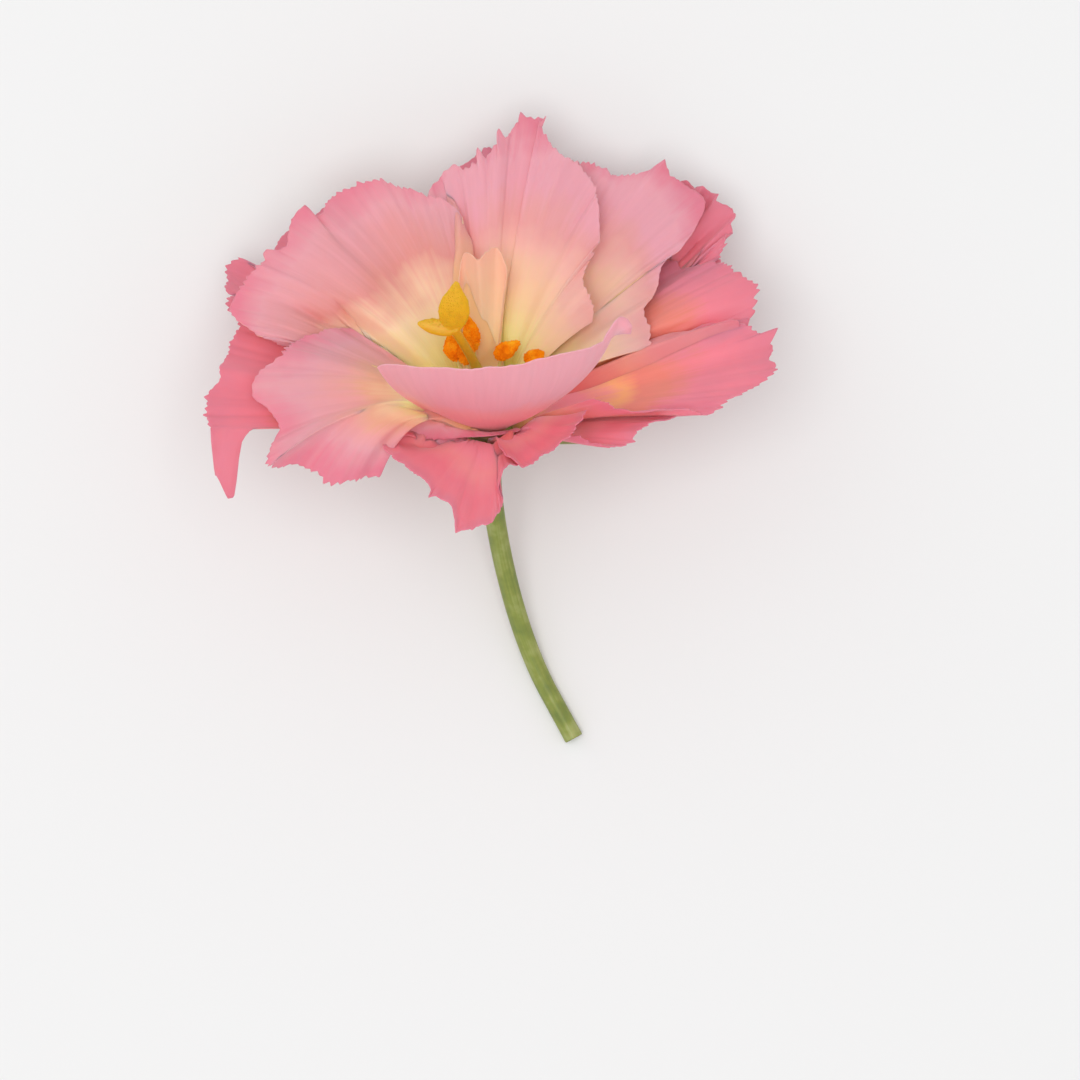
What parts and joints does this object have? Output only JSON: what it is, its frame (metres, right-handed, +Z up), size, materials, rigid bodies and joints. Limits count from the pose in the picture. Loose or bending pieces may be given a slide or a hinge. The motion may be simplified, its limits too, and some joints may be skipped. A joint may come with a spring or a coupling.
{
  "type": "lisianthus flower",
  "caption": "Cut lisianthus bloom, fully open and double, with ruffled and finely toothed pink petals in layers, a pistil, stamens, sepals and a short bent stalk.",
  "frame": {"origin": "middle of the bounding box, at the surface that the flower lies on", "axes": "+Z up from the surface, +Y from the cut end of the stalk towards the back petals, +X to the right seen from above"},
  "size_m": [0.0863, 0.095, 0.0566],
  "materials": {
    "petal": "soft satin petal, rosy pink with deeper rims and a cream base",
    "sepal": "matte green leaf skin",
    "pistil": "velvety golden yellow stigma on a green ovary",
    "stamen": "powdery orange pollen on pale filaments",
    "stem": "matte olive green stalk"
  },
  "bodies": {
    "root": {"petal_front": "petal", "petaloid": "petal", "petal_inner_1": "petal", "petal_inner_2": "petal", "petal_inner_3": "petal", "petal_inner_4": "petal", "petal_inner_5": "petal", "petal_outer_1": "petal", "petal_outer_2": "petal", "petal_outer_3": "petal", "petal_outer_4": "petal", "petal_outer_5": "petal", "petal_outer_6": "petal", "petal_outer_7": "petal", "petal_outer_8": "petal", "sepal_1": "sepal", "sepal_2": "sepal", "sepal_3": "sepal", "sepal_4": "sepal", "sepal_5": "sepal", "pistil": "pistil", "stamens": "stamen", "stem": "stem"}
  },
  "joints": []
}
